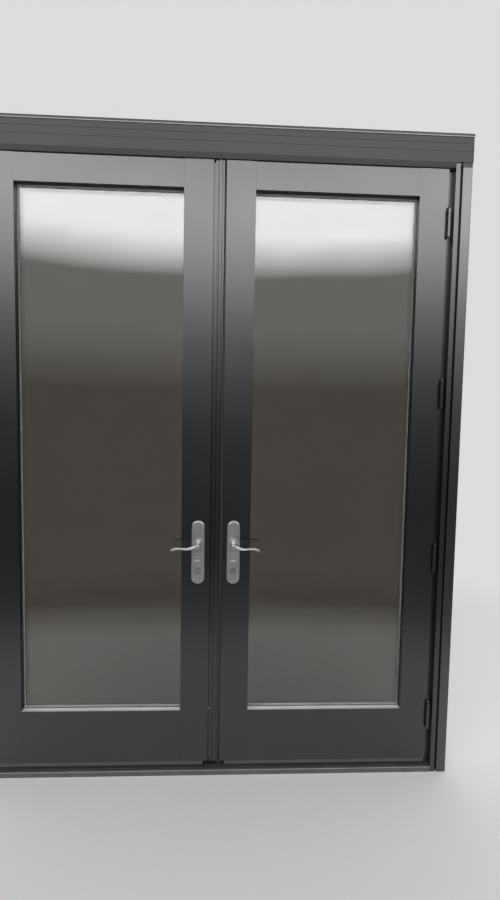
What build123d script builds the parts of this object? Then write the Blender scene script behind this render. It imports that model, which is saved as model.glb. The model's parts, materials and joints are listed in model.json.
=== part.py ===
from build123d import *
import os

os.makedirs("parts", exist_ok=True)

# A pair of glazed french doors that open outwards, in their own frame.
# Millimetres, +Z up. Seen from outside, +X is to the right and +Y goes into the house.
# The origin is on the underside of the sill, on the centre line of the doorway,
# below the outside faces of the leaves.
SIDES = (("left", -1), ("right", 1))

# Leaves
leaf_width = 835.0
leaf_height = 2313.0
leaf_thickness = 57.0
stile_width = 110.0
top_rail_height = 102.0
bottom_rail_height = 211.0
leaf_arris = 1.5
glass_arris = 0.8

# Running gaps round and between the leaves
meeting_gap = 46.0
leaf_gap = 3.0
under_leaf_gap = 20.0

# Double glazing, held in a rebate by beads on the inside
stop_depth = 23.5
rebate_width = 14.0
edge_clearance = 3.0
glazing_seal = 1.5
pane_thickness = 4.0
pane_cavity = 14.0
spacer_sight = 1.0
spacer_inset = 2.0
bead_slope = 6.0
bead_joint = 0.2
setting_block_length = 80.0
setting_block_inset = 110.0

# Frame
frame_depth = 108.0
recess_width = 20.0
recess_depth = 16.0
jamb_nosing = 20.0
nosing_proud = 8.0
nosing_round = 3.0
stop_face = 61.0
stop_width = 16.0
fixing_hole = 6.6
fixing_count = 4
lowest_fixing = 330.0
highest_fixing = 374.0
fixing_depth = 52.0

# Casings that cover the edge of the frame on the outside
casing_groove = 6.0
casing_groove_floor = 6.0
casing_width = 44.0
casing_back = 22.0
casing_proud = 10.0
casing_round = 4.0
head_casing_height = 100.0
head_casing_proud = 12.0
head_line_heights = (39.0, 67.0)
head_line_size = 1.0
apron_gap = 4.0
apron_setback = 2.0
cap_sheet = 1.5
cap_overhang = 3.0
cap_lip = 9.0
cap_upstand = 14.0

# Sill
tread_height = 31.0
sill_proud = 10.0
sill_nose_height = 20.0
sill_round = 4.0
tread_front = 12.0
rib_pitch = 5.0
rib_count = 3
rib_size = 2.0
upstand_face = 60.0
upstand_width = 12.0
upstand_top = 66.0
inner_sill_height = 42.0

# Seals that close against the inside of the leaves, and the sweeps under them
seal_width = 9.0
seal_clearance = 0.3
sweep_setback = 3.0
sweep_sheet = 3.0
sweep_depth = 46.0
sweep_height = 15.0
sweep_meeting_inset = 20.0
sweep_hinge_inset = 5.0

# Meeting post between the leaves, carried by the left leaf
post_right = 17.0
post_front_left = -16.0
post_seat = 14.0
post_step = 5.4
post_fillet = 4.3
post_groove = 3.3
post_bead = 11.4
post_valley = 3.8
bead_proud = 6.0
fillet_proud = 3.0
valley_proud = 1.0
groove_floor = 2.0
post_round = 1.4
post_bead_round = 3.0
post_end_gap = 3.0
post_seal_proud = 3.0
post_seal_front = 8.0
post_seal_width = 6.0

# Hinges
hinge_count = 4
lowest_hinge = 186.5
highest_hinge = 199.5
hinge_length = 102.0
outer_knuckle = 21.0
knuckle_gap = 0.5
barrel_radius = 7.0
pin_radius = 3.7
pin_clearance = 0.1
pin_ball_radius = 5.6
pin_button = 2.5
hinge_proud = 8.0
hinge_plate = 2.5
hinge_plate_depth = 45.0

# Lock case with its long face strip, and the bolts that slide in it
backset = 45.0
strip_thickness = 3.0
strip_width = 20.0
case_depth = 72.0
case_thickness = 16.0
case_above_lever = 85.0
case_below_cylinder = 78.0
case_clearance = 0.5
rod_size = 9.0
rod_clearance = 0.5
rod_tail = 25.0
rod_room = 15.0
rod_chamfer = 1.5
top_rod_setback = 1.0
bottom_rod_reach = 14.0
bolt_throw = 20.0
keep_sheet = 2.0
keep_length = 42.0
keep_width = 20.0
keep_clearance = 1.0
keep_floor = 5.0
bolt_thickness = 12.0
bolt_clearance = 0.4
latch_height = 16.0
latch_rise = 22.0
latch_nose = 1.5
latch_bevel = 6.0
latch_length = 30.5
latch_room = 12.0
dead_bolt_height = 20.0
dead_bolt_setback = 1.0
dead_bolt_length = 36.0
dead_bolt_room = 2.0
strike_end = 20.0
strike_sheet = 2.0

# Handle sets
lever_height = 935.0
cylinder_drop = 107.0
plate_width = 51.0
plate_above_lever = 89.0
plate_below_cylinder = 52.0
plate_thickness = 9.0
plate_round = 5.0
pad_length = 64.0
pad_width = 24.0
pad_rise = 11.0
pad_proud = 2.5
pad_round = 1.5
cylinder_radius = 8.5
cylinder_mouth = 10.3
cylinder_bore = 9.0
cylinder_proud = 12.0
key_slot_width = 1.8
key_slot_length = 9.0
key_slot_depth = 3.0
hub_radius = 9.5
hub_clearance = 0.3
collar_radius = 12.0
collar_height = 4.5
hub_top = 57.0
hub_round = 6.0
spindle_size = 8.0
spindle_bore = 6.4
spindle_seat = 26.0
spindle_clearance = 0.1
lever_stand_off = 49.0
lever_route = ((0.0, -1.0), (16.0, -5.5), (34.0, -10.5), (56.0, -10.5), (78.0, -9.5), (99.0, -18.0))
lever_sections = (
    (0.0, 7.5, 6.5),
    (0.22, 6.8, 6.2),
    (0.45, 5.4, 5.8),
    (0.75, 4.8, 5.2),
    (0.97, 4.0, 4.2),
    (1.0, 2.2, 2.4),
)
turn_base_radius = 11.0
turn_base_height = 4.0
turn_grip_length = 30.0
turn_grip_width = 8.0
turn_grip_height = 16.0
turn_grip_round = 2.5
turn_tail_radius = 4.5
turn_tail_reach = 4.0
handle_screw_radius = 2.5
handle_screw_head = 4.5
handle_screw_bore = 3.2
screw_above_lever = 76.0
screw_below_cylinder = 40.0
handle_screw_end = 5.0
screw_sink = 3.0

# How near a point lies to a line to be taken as on it, when an edge or a corner is picked
pick_tolerance = 0.01

# Places that follow from the sizes
leaf_bottom = tread_height + under_leaf_gap
leaf_top = leaf_bottom + leaf_height
leaf_middle = leaf_thickness / 2
meeting_edge = meeting_gap / 2
hinge_edge = meeting_edge + leaf_width
glass_near = meeting_edge + stile_width
glass_far = hinge_edge - stile_width
glass_low = leaf_bottom + bottom_rail_height
glass_high = leaf_top - top_rail_height
pane_front = stop_depth + glazing_seal
pane_back = pane_front + 2 * pane_thickness + pane_cavity
rabbet = hinge_edge + leaf_gap
nosing_edge = hinge_edge + recess_width
jamb_back = nosing_edge + jamb_nosing
stop_edge = rabbet - stop_width
head_rabbet = leaf_top + leaf_gap
head_nosing = leaf_top + recess_width
head_top = head_nosing + jamb_nosing
head_stop = head_rabbet - stop_width
fixing_pitch = (head_nosing - lowest_fixing - highest_fixing) / (fixing_count - 1)
casing_outer = jamb_back + casing_width
head_casing_top = head_nosing + head_casing_height
apron_low = leaf_top + apron_gap
hinge_axis = hinge_edge + leaf_gap / 2
hinge_pitch = (leaf_height - lowest_hinge - highest_hinge) / (hinge_count - 1)
hinge_heights = [leaf_bottom + lowest_hinge + hinge_pitch * i for i in range(hinge_count)]
strip_back = meeting_edge + strip_thickness
groove_back = strip_back + rod_size + 2 * rod_clearance
rod_axis = (strip_back + groove_back) / 2
rod_groove = rod_size + 2 * rod_clearance
case_back = strip_back + case_depth
handle_axis = meeting_edge + backset
cylinder_height = lever_height - cylinder_drop
plate_top = lever_height + plate_above_lever
plate_bottom = cylinder_height - plate_below_cylinder
plate_centre = (plate_top + plate_bottom) / 2
plate_length = plate_top - plate_bottom
pad_centre = cylinder_height + pad_rise
handle_screw_heights = (cylinder_height - screw_below_cylinder, lever_height + screw_above_lever)
case_low = cylinder_height - case_below_cylinder
case_high = lever_height + case_above_lever
latch_low = lever_height + latch_rise - latch_height / 2
latch_high = latch_low + latch_height
dead_bolt_low = cylinder_height - dead_bolt_height / 2
dead_bolt_high = dead_bolt_low + dead_bolt_height
bolt_pocket = bolt_thickness + 2 * keep_clearance
bolt_slot = bolt_thickness + 2 * bolt_clearance
rod_hole = rod_size + 2 * keep_clearance
latch_front = meeting_edge - latch_nose
dead_bolt_front = meeting_edge + dead_bolt_setback
keep_pocket = dead_bolt_front - bolt_throw - keep_floor
tail_end = leaf_middle - turn_tail_reach


def block(x, y, z, mode=Mode.ADD):
    """A rectangular solid between two values along each axis, given in either order."""
    spans = (x, y, z)
    with Locations(tuple((a + b) / 2 for a, b in spans)):
        Box(*(abs(b - a) for a, b in spans), mode=mode)


def about(centre, size):
    """The two ends of a span of a given size about its centre."""
    return (centre - size / 2, centre + size / 2)


def save(piece, label):
    """Label a finished piece and write it under its own name."""
    piece.part.label = label
    export_step(piece.part, f"parts/{label}.step")


def handle_plane(side, outside, height, stand_off=0.0):
    """Plane on the face of a leaf at the handle's line, looking away from the leaf."""
    if outside:
        return Plane((side * handle_axis, -stand_off, height), x_dir=(1, 0, 0), z_dir=(0, -1, 0))
    return Plane((side * handle_axis, leaf_thickness + stand_off, height), x_dir=(-1, 0, 0), z_dir=(0, 1, 0))


def disc(plane, radius, height, mode=Mode.ADD):
    """A cylinder that rises from a plane, or goes into it where the height is negative."""
    end = Align.MIN if height > 0 else Align.MAX
    with Locations(plane):
        Cylinder(radius, abs(height), align=(Align.CENTER, Align.CENTER, end), mode=mode)


def bore_through_leaf(side, height, radius):
    """Round hole through a leaf at the handle's line."""
    disc(handle_plane(side, True, height), radius, -leaf_thickness, Mode.SUBTRACT)


def cut_lock_mortise(side):
    """Pocket for the lock case, its strip and the two rods, and the holes for the handle set."""
    whole = (leaf_bottom, leaf_top)
    block((side * meeting_edge, side * strip_back), about(leaf_middle, strip_width), whole, Mode.SUBTRACT)
    block((side * strip_back, side * groove_back), about(leaf_middle, rod_groove), whole, Mode.SUBTRACT)
    block(
        (side * strip_back, side * (case_back + case_clearance)),
        about(leaf_middle, case_thickness + 2 * case_clearance),
        (case_low - case_clearance, case_high + case_clearance),
        Mode.SUBTRACT,
    )
    bore_through_leaf(side, lever_height, spindle_bore)
    bore_through_leaf(side, cylinder_height, cylinder_bore)
    for height in handle_screw_heights:
        bore_through_leaf(side, height, handle_screw_bore)


def cut_hinge_mortises(x, y):
    """Shallow pockets for one plate of each hinge."""
    for height in hinge_heights:
        block(x, y, about(height, hinge_length), Mode.SUBTRACT)


def at(value, place):
    """Whether a coordinate lies at a place."""
    return abs(value - place) < pick_tolerance


def corner(sketch, x, y):
    """The corner of a section that lies at one point."""
    return sketch.vertices().filter_by(lambda v: at(v.X, x) and at(v.Y, y))


# Stiles, full height, with the glazing rebate along one edge
for name, side in SIDES:
    for role, outer, inner in (("lock", meeting_edge, glass_near), ("hinge", hinge_edge, glass_far)):
        rebate_line = inner - rebate_width if role == "lock" else inner + rebate_width
        with BuildPart() as stile:
            with BuildSketch(Plane.XY.offset(leaf_bottom)) as section:
                with BuildLine():
                    Polyline(
                        (side * outer, 0),
                        (side * inner, 0),
                        (side * inner, stop_depth),
                        (side * rebate_line, stop_depth),
                        (side * rebate_line, leaf_thickness),
                        (side * outer, leaf_thickness),
                        close=True,
                    )
                make_face()
                fillet(corner(section, side * outer, 0), leaf_arris)
                fillet(corner(section, side * outer, leaf_thickness), leaf_arris)
                fillet(corner(section, side * inner, 0), glass_arris)
            extrude(amount=leaf_height)
            if role == "lock":
                cut_lock_mortise(side)
            else:
                leaf_plate = (side * (hinge_edge - hinge_plate), side * hinge_edge)
                cut_hinge_mortises(leaf_plate, (0, hinge_plate_depth))
        save(stile, f"{name}_{role}_stile")

# Rails, butted between the stiles, with a tongue that fills the stiles' rebates
for name, side in SIDES:
    for role, edge, glass in (("top", leaf_top, glass_high), ("bottom", leaf_bottom, glass_low)):
        rebate_line = glass + rebate_width if role == "top" else glass - rebate_width
        with BuildPart() as rail:
            with BuildSketch(Plane.YZ.offset(side * glass_near)) as section:
                with BuildLine():
                    Polyline(
                        (0, edge),
                        (0, glass),
                        (stop_depth, glass),
                        (stop_depth, rebate_line),
                        (leaf_thickness, rebate_line),
                        (leaf_thickness, edge),
                        close=True,
                    )
                make_face()
                fillet(corner(section, 0, edge), leaf_arris)
                fillet(corner(section, 0, glass), glass_arris)
            extrude(amount=side * (glass_far - glass_near))
            block(
                (side * (glass_near - rebate_width), side * (glass_far + rebate_width)),
                (stop_depth, leaf_thickness),
                (edge, rebate_line),
            )
        save(rail, f"{name}_{role}_rail")


def glass_ring(side, outer_margin, inner_margin, y):
    """A ring round the glass opening, measured outwards from the opening's edge."""
    def outline(margin):
        """The spans across and up of the opening, grown by a margin."""
        return (
            (side * (glass_near - margin), side * (glass_far + margin)),
            (glass_low - margin, glass_high + margin),
        )
    across, up = outline(outer_margin)
    block(across, y, up)
    across, up = outline(inner_margin)
    block(across, y, up, Mode.SUBTRACT)


# Sealed double glazing: two panes, and the bar between them
pane_margin = rebate_width - edge_clearance
pane_across = (glass_near - pane_margin, glass_far + pane_margin)
pane_up = (glass_low - pane_margin, glass_high + pane_margin)
for name, side in SIDES:
    for role, front in (("outer", pane_front), ("inner", pane_back - pane_thickness)):
        with BuildPart() as pane:
            block((side * pane_across[0], side * pane_across[1]), (front, front + pane_thickness), pane_up)
        save(pane, f"{name}_{role}_pane")
    with BuildPart() as spacer:
        cavity_span = (pane_front + pane_thickness, pane_back - pane_thickness)
        glass_ring(side, pane_margin - spacer_inset, -spacer_sight, cavity_span)
    save(spacer, f"{name}_glass_spacer")

# Four mitred beads hold the glass in from the inside
for name, side in SIDES:
    low, high = glass_low, glass_high
    near, far = side * glass_near, side * glass_far
    reach = side * rebate_width
    lower = low - rebate_width + bead_joint
    upper = high + rebate_width - bead_joint
    bead_outlines = (
        ((near, low), (far, low), (far + reach, low - rebate_width), (near - reach, low - rebate_width)),
        ((near, high), (far, high), (far + reach, high + rebate_width), (near - reach, high + rebate_width)),
        ((near, low + bead_joint), (near, high - bead_joint), (near - reach, upper), (near - reach, lower)),
        ((far, low + bead_joint), (far, high - bead_joint), (far + reach, upper), (far + reach, lower)),
    )
    bead_pieces = []
    for outline in bead_outlines:
        with BuildPart() as bead:
            with BuildSketch(Plane.XZ.offset(-leaf_thickness)):
                with BuildLine():
                    Polyline(*outline, close=True)
                make_face()
            extrude(amount=leaf_thickness - pane_back)
            face_edges = bead.faces().sort_by(Axis.Y)[-1].edges()
            sight_edge = face_edges.filter_by(
                lambda e: at(e.center().X, near) or at(e.center().X, far)
                or at(e.center().Z, low) or at(e.center().Z, high)
            ).sort_by(Edge.length)[-1]
            chamfer(sight_edge, bead_slope)
        bead_pieces.append(bead.part)
    with BuildPart() as beads:
        add(bead_pieces)
    save(beads, f"{name}_glazing_beads")

# Rubber: the glazing seal and setting blocks, and at the meeting edge a strip on the post and one facing it
for name, side in SIDES:
    meeting_strip = (post_right, post_right + post_seal_proud)
    if name == "right":
        meeting_strip = (post_right + post_seal_proud + seal_clearance, meeting_edge)
    with BuildPart() as seals:
        glass_ring(side, pane_margin, glazing_seal, (stop_depth, pane_front))
        for end in (glass_near + setting_block_inset, glass_far - setting_block_inset):
            block(
                about(side * end, setting_block_length),
                (pane_front, pane_back),
                (glass_low - rebate_width, glass_low - pane_margin),
            )
        block(
            meeting_strip,
            (post_seal_front, post_seal_front + post_seal_width),
            (leaf_bottom + post_end_gap, leaf_top - post_end_gap),
        )
    save(seals, f"{name}_leaf_seals")

# Sweeps: a channel under each leaf with a blade at the front and one at the back
for name, side in SIDES:
    span = (side * (meeting_edge + sweep_meeting_inset), side * (hinge_edge - sweep_hinge_inset))
    with BuildPart() as sweep:
        back = sweep_setback + sweep_depth
        block(span, (sweep_setback, back), (leaf_bottom - sweep_sheet, leaf_bottom))
        for front in (sweep_setback, back - sweep_sheet):
            block(span, (front, front + sweep_sheet), (leaf_bottom - sweep_height, leaf_bottom))
    save(sweep, f"{name}_door_sweep")

# Meeting post with its moulded face, fixed along the edge of the left leaf
with BuildPart() as post:
    step_edge = post_front_left + post_step
    fillet_edge = step_edge + post_fillet
    groove_edge = fillet_edge + post_groove
    bead_edge = groove_edge + post_bead
    valley_edge = bead_edge + post_valley
    with BuildSketch(Plane.XY.offset(leaf_bottom + post_end_gap)) as section:
        with BuildLine():
            Polyline(
                (-meeting_edge, leaf_thickness),
                (-meeting_edge, post_seat),
                (post_front_left, post_seat),
                (post_front_left, 0),
                (step_edge, 0),
                (step_edge, -fillet_proud),
                (fillet_edge, -fillet_proud),
                (fillet_edge, groove_floor),
                (groove_edge, groove_floor),
                (groove_edge, -bead_proud),
                (bead_edge, -bead_proud),
                (bead_edge, -valley_proud),
                (valley_edge, -valley_proud),
                (valley_edge, -fillet_proud),
                (post_right, -fillet_proud),
                (post_right, leaf_thickness),
                close=True,
            )
        make_face()
        for x in (step_edge, fillet_edge, valley_edge, post_right):
            fillet(corner(section, x, -fillet_proud), post_round)
        for x in (groove_edge, bead_edge):
            fillet(corner(section, x, -bead_proud), post_bead_round)
    extrude(amount=leaf_height - 2 * post_end_gap)
    strike_span = (dead_bolt_low - strike_end, latch_high + strike_end)
    sheet = (post_right - strike_sheet, post_right)
    block(sheet, about(leaf_middle, strip_width), strike_span, Mode.SUBTRACT)
    for low, high in ((dead_bolt_low, dead_bolt_high), (latch_low, latch_high)):
        height_span = (low - keep_clearance, high + keep_clearance)
        block((keep_pocket, post_right), about(leaf_middle, bolt_pocket), height_span, Mode.SUBTRACT)
save(post, "left_meeting_post")

with BuildPart() as strike:
    block(sheet, about(leaf_middle, strip_width), strike_span)
    for low, high in ((dead_bolt_low, dead_bolt_high), (latch_low, latch_high)):
        height_span = (low - keep_clearance, high + keep_clearance)
        block(sheet, about(leaf_middle, bolt_pocket), height_span, Mode.SUBTRACT)
save(strike, "left_strike")


# Lock cases, each one piece with the strip along the leaf's edge
def rod_channel(side, z):
    """The space that a rod slides in, behind the strip."""
    block((side * strip_back, side * groove_back), about(leaf_middle, rod_groove), z, Mode.SUBTRACT)


for name, side in SIDES:
    with BuildPart() as lock:
        case = (side * strip_back, side * case_back)
        strip = (side * meeting_edge, side * strip_back)
        block(case, about(leaf_middle, case_thickness), (case_low, case_high))
        block(strip, about(leaf_middle, strip_width), (leaf_bottom, leaf_top))
        rod_channel(side, (case_high - rod_tail - rod_room, case_high))
        rod_channel(side, (case_low, case_low + rod_tail + bolt_throw + rod_room))
        bore_through_leaf(side, lever_height, spindle_bore)
        bore_through_leaf(side, cylinder_height, turn_tail_radius + hub_clearance)
        for height in handle_screw_heights:
            bore_through_leaf(side, height, handle_screw_bore)
        if name == "right":
            for back, low, high in (
                (latch_front + latch_length + latch_room, latch_low, latch_high),
                (dead_bolt_front + dead_bolt_length + dead_bolt_room, dead_bolt_low, dead_bolt_high),
            ):
                slot = (low - bolt_clearance, high + bolt_clearance)
                block((meeting_edge, back), about(leaf_middle, bolt_slot), slot, Mode.SUBTRACT)
    save(lock, f"{name}_lock")

# Bolts of the right lock
with BuildPart() as latch:
    latch_span = (latch_front, latch_front + latch_length)
    block(latch_span, about(leaf_middle, bolt_thickness), (latch_low, latch_high))
    nose_edge = latch.edges().filter_by(Axis.Z).group_by(Axis.X)[0].sort_by(Axis.Y)[-1]
    chamfer(nose_edge, latch_bevel)
save(latch, "right_latch")

with BuildPart() as dead_bolt:
    block(
        (dead_bolt_front, dead_bolt_front + dead_bolt_length),
        about(leaf_middle, bolt_thickness),
        (dead_bolt_low, dead_bolt_high),
    )
    chamfer(dead_bolt.faces().sort_by(Axis.X)[0].edges(), rod_chamfer)
save(dead_bolt, "right_dead_bolt")

# Rods that slide up into the head and down into the sill
for name, side in SIDES:
    for role, tail, tip in (
        ("top", case_high - rod_tail, leaf_top - top_rod_setback),
        ("bottom", case_low + rod_tail + bolt_throw, leaf_bottom - bottom_rod_reach),
    ):
        with BuildPart() as rod:
            block(about(side * rod_axis, rod_size), about(leaf_middle, rod_size), (tail, tip))
            tip_face = rod.faces().sort_by(Axis.Z)[-1 if role == "top" else 0]
            chamfer(tip_face.edges(), rod_chamfer)
        save(rod, f"{name}_{role}_rod")

# Keyed cylinders
for name, side in SIDES:
    with BuildPart() as cylinder:
        seat = leaf_middle - case_thickness / 2
        disc(handle_plane(side, True, cylinder_height, -seat), cylinder_radius, seat + cylinder_proud)
        with BuildSketch(handle_plane(side, True, cylinder_height, cylinder_proud)):
            Rectangle(key_slot_width, key_slot_length)
        extrude(amount=-key_slot_depth, mode=Mode.SUBTRACT)
    save(cylinder, f"{name}_cylinder")

# Handle plates, with a raised pad round the cylinder on the outside
def countersink(side, height, mode=Mode.ADD):
    """The cone of a screw head in the inside plate."""
    with Locations(handle_plane(side, False, height, plate_thickness)):
        Cone(
            handle_screw_radius,
            handle_screw_head,
            screw_sink,
            align=(Align.CENTER, Align.CENTER, Align.MAX),
            mode=mode,
        )


for name, side in SIDES:
    for role, outside in (("outside", True), ("inside", False)):
        with BuildPart() as plate:
            with BuildSketch(handle_plane(side, outside, plate_centre)):
                SlotOverall(plate_length, plate_width, rotation=90)
            extrude(amount=plate_thickness)
            outer_face = plate.faces().sort_by(Axis.Y)[0 if outside else -1]
            fillet(outer_face.edges(), plate_round)
            if outside:
                with BuildSketch(handle_plane(side, outside, pad_centre)):
                    SlotOverall(pad_length, pad_width, rotation=90)
                extrude(amount=plate_thickness + pad_proud)
                fillet(plate.faces().sort_by(Axis.Y)[0].edges(), pad_round)
            turn_bore = cylinder_mouth if outside else turn_tail_radius + hub_clearance
            for height, radius in ((lever_height, hub_radius + hub_clearance), (cylinder_height, turn_bore)):
                disc(handle_plane(side, outside, height), radius, plate_thickness + pad_proud, Mode.SUBTRACT)
            for height in handle_screw_heights:
                screw_depth = handle_screw_end if outside else plate_thickness
                disc(handle_plane(side, outside, height), handle_screw_radius, screw_depth, Mode.SUBTRACT)
                if not outside:
                    countersink(side, height, Mode.SUBTRACT)
        save(plate, f"{name}_{role}_plate")

# Screws that clamp the two plates of a handle set together through the leaf
for name, side in SIDES:
    with BuildPart() as screws:
        for height in handle_screw_heights:
            length = handle_screw_end + leaf_thickness + plate_thickness
            disc(handle_plane(side, False, height, plate_thickness), handle_screw_radius, -length)
            countersink(side, height)
    save(screws, f"{name}_handle_screws")

# Levers with a waved arm; the outside one carries the spindle that turns both
for name, side in SIDES:
    for role, outside in (("outside", True), ("inside", False)):
        away = -1 if outside else 1
        arm_plane_y = -lever_stand_off if outside else leaf_thickness + lever_stand_off
        with BuildPart() as lever:
            hub_plane = handle_plane(side, outside, lever_height, hub_clearance)
            disc(hub_plane, hub_radius, hub_top - hub_clearance)
            fillet(lever.edges().group_by(Axis.Y)[0 if outside else -1], hub_round)
            collar_plane = handle_plane(side, outside, lever_height, plate_thickness + hub_clearance)
            disc(collar_plane, collar_radius, collar_height)
            with BuildLine() as route:
                Spline(*[(side * (handle_axis + x), arm_plane_y, lever_height + z) for x, z in lever_route])
            centre_line = route.edges()[0]
            for share, half_height, half_depth in lever_sections:
                with BuildSketch(Plane(centre_line @ share, x_dir=(0, away, 0), z_dir=centre_line % share)):
                    Ellipse(half_depth, half_height)
            loft()
            if outside:
                block(
                    about(side * handle_axis, spindle_size),
                    (-spindle_seat, leaf_thickness + spindle_seat),
                    about(lever_height, spindle_size),
                )
            else:
                socket = spindle_size + 2 * spindle_clearance
                block(
                    about(side * handle_axis, socket),
                    (leaf_thickness, leaf_thickness + spindle_seat + spindle_clearance),
                    about(lever_height, socket),
                    Mode.SUBTRACT,
                )
        save(lever, f"{name}_{role}_lever")

# Thumb turns on the inside, with the tail that reaches into the lock case
for name, side in SIDES:
    with BuildPart() as turn:
        base_top = plate_thickness + hub_clearance + turn_base_height
        disc(handle_plane(side, False, cylinder_height, base_top), turn_base_radius, -turn_base_height)
        with BuildSketch(handle_plane(side, False, cylinder_height, base_top)):
            SlotOverall(turn_grip_length, turn_grip_width, rotation=90)
        extrude(amount=turn_grip_height)
        fillet(turn.faces().sort_by(Axis.Y)[-1].edges(), turn_grip_round)
        tail = base_top + leaf_thickness - tail_end
        disc(handle_plane(side, False, cylinder_height, base_top), turn_tail_radius, -tail)
    save(turn, f"{name}_thumb_turn")

# Hinges: one knuckle on the leaf between two on the frame, all on one pin
inner_knuckle = hinge_length / 2 - outer_knuckle
leaf_spans = ((-inner_knuckle + knuckle_gap, inner_knuckle - knuckle_gap),)
frame_spans = ((-hinge_length / 2, -inner_knuckle), (inner_knuckle, hinge_length / 2))


def hinge_half(side, height, plate, spans):
    """One plate of a hinge with its knuckles, round the pin's axis."""
    block(plate, (0, hinge_plate_depth), about(height, hinge_length))
    for low, high in spans:
        block(plate, (-hinge_proud, 0), (height + low, height + high))
        foot = Plane((side * hinge_axis, -hinge_proud, height + low))
        disc(foot, barrel_radius, high - low)
        disc(foot, pin_radius + pin_clearance, high - low, Mode.SUBTRACT)


for name, side in SIDES:
    with BuildPart() as leaf_hinges:
        for height in hinge_heights:
            hinge_half(side, height, (side * (hinge_edge - hinge_plate), side * hinge_edge), leaf_spans)
    save(leaf_hinges, f"{name}_leaf_hinges")

with BuildPart() as frame_hinges:
    for name, side in SIDES:
        for height in hinge_heights:
            hinge_half(side, height, (side * rabbet, side * (rabbet + hinge_plate)), frame_spans)
save(frame_hinges, "frame_hinges")

with BuildPart() as pins:
    for name, side in SIDES:
        for height in hinge_heights:
            foot = Plane((side * hinge_axis, -hinge_proud, height - hinge_length / 2))
            disc(foot, pin_ball_radius, -pin_button)
            disc(foot, pin_radius, hinge_length + pin_ball_radius)
            with Locations((side * hinge_axis, -hinge_proud, height + hinge_length / 2 + pin_ball_radius)):
                Sphere(pin_ball_radius)
save(pins, "hinge_pins")

# Jambs, with the recess beside the leaf, the nosing and the stop that the leaf closes against
for name, side in SIDES:
    with BuildPart() as jamb:
        with BuildSketch(Plane.XY) as section:
            with BuildLine():
                Polyline(
                    (side * rabbet, recess_depth),
                    (side * nosing_edge, recess_depth),
                    (side * nosing_edge, -nosing_proud),
                    (side * jamb_back, -nosing_proud),
                    (side * jamb_back, frame_depth),
                    (side * stop_edge, frame_depth),
                    (side * stop_edge, stop_face),
                    (side * rabbet, stop_face),
                    close=True,
                )
            make_face()
            for x in (side * nosing_edge, side * jamb_back):
                fillet(corner(section, x, -nosing_proud), nosing_round)
            fillet(corner(section, side * stop_edge, frame_depth), leaf_arris)
        extrude(amount=head_nosing)
        cut_hinge_mortises((side * rabbet, side * (rabbet + hinge_plate)), (recess_depth, hinge_plate_depth))
        for i in range(fixing_count):
            foot = (side * rabbet, fixing_depth, lowest_fixing + i * fixing_pitch)
            hole = Plane(foot, x_dir=(0, 1, 0), z_dir=(side, 0, 0))
            disc(hole, fixing_hole / 2, jamb_back - rabbet, Mode.SUBTRACT)
    save(jamb, f"{name}_jamb")

# Head, stepped down between the jambs to the rabbet and the stop
with BuildPart() as head:
    block((-jamb_back, jamb_back), (0, frame_depth), (head_nosing, head_top))
    block((-rabbet, rabbet), (recess_depth, frame_depth), (head_rabbet, head_nosing))
    block((-stop_edge, stop_edge), (stop_face, frame_depth), (head_stop, head_rabbet))
    for name, side in SIDES:
        corner_across = (side * stop_edge, side * rabbet)
        block(corner_across, (stop_face, frame_depth), (head_rabbet, head_nosing), Mode.SUBTRACT)
        pocket_top = leaf_top - top_rod_setback + bolt_throw + keep_floor
        pocket = (head_rabbet, pocket_top)
        block(about(side * rod_axis, rod_hole), about(leaf_middle, rod_hole), pocket, Mode.SUBTRACT)
        block(
            about(side * rod_axis, keep_length),
            about(leaf_middle, keep_width),
            (head_rabbet, head_rabbet + keep_sheet),
            Mode.SUBTRACT,
        )
save(head, "head_jamb")

# Sill: a nosing with ribs in front of the leaves, a flat under them and an upstand behind
with BuildPart() as sill:
    with BuildSketch(Plane.YZ.offset(-rabbet)) as section:
        with BuildLine():
            Polyline(
                (-sill_proud, 0),
                (-sill_proud, sill_nose_height),
                (tread_front, tread_height),
                (upstand_face, tread_height),
                (upstand_face, upstand_top),
                (upstand_face + upstand_width, upstand_top),
                (upstand_face + upstand_width, inner_sill_height),
                (frame_depth, inner_sill_height),
                (frame_depth, 0),
                close=True,
            )
        make_face()
        fillet(corner(section, -sill_proud, sill_nose_height), sill_round)
        for y in (upstand_face, upstand_face + upstand_width):
            fillet(corner(section, y, upstand_top), leaf_arris)
    extrude(amount=2 * rabbet)
    with BuildSketch(Plane.YZ.offset(-nosing_edge)) as section:
        with BuildLine():
            Polyline(
                (-sill_proud, 0),
                (-sill_proud, sill_nose_height),
                (tread_front, tread_height),
                (recess_depth, tread_height),
                (recess_depth, 0),
                close=True,
            )
        make_face()
        fillet(corner(section, -sill_proud, sill_nose_height), sill_round)
    extrude(amount=2 * nosing_edge)
    slope = (tread_height - sill_nose_height) / (tread_front + sill_proud)
    for i in range(rib_count):
        y = tread_front - (i + 1) * rib_pitch
        top = tread_height - slope * (tread_front - y)
        block((-nosing_edge, nosing_edge), (y, y + rib_size), (top - rib_size, tread_height), Mode.SUBTRACT)
    for name, side in SIDES:
        block((side * stop_edge, side * rabbet), (stop_face, frame_depth), (0, upstand_top), Mode.SUBTRACT)
        pocket_floor = leaf_bottom - bottom_rod_reach - bolt_throw - keep_floor
        pocket = (pocket_floor, tread_height)
        block(about(side * rod_axis, rod_hole), about(leaf_middle, rod_hole), pocket, Mode.SUBTRACT)
        block(
            about(side * rod_axis, keep_length),
            about(leaf_middle, keep_width),
            (tread_height - keep_sheet, tread_height),
            Mode.SUBTRACT,
        )
save(sill, "sill")

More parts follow.
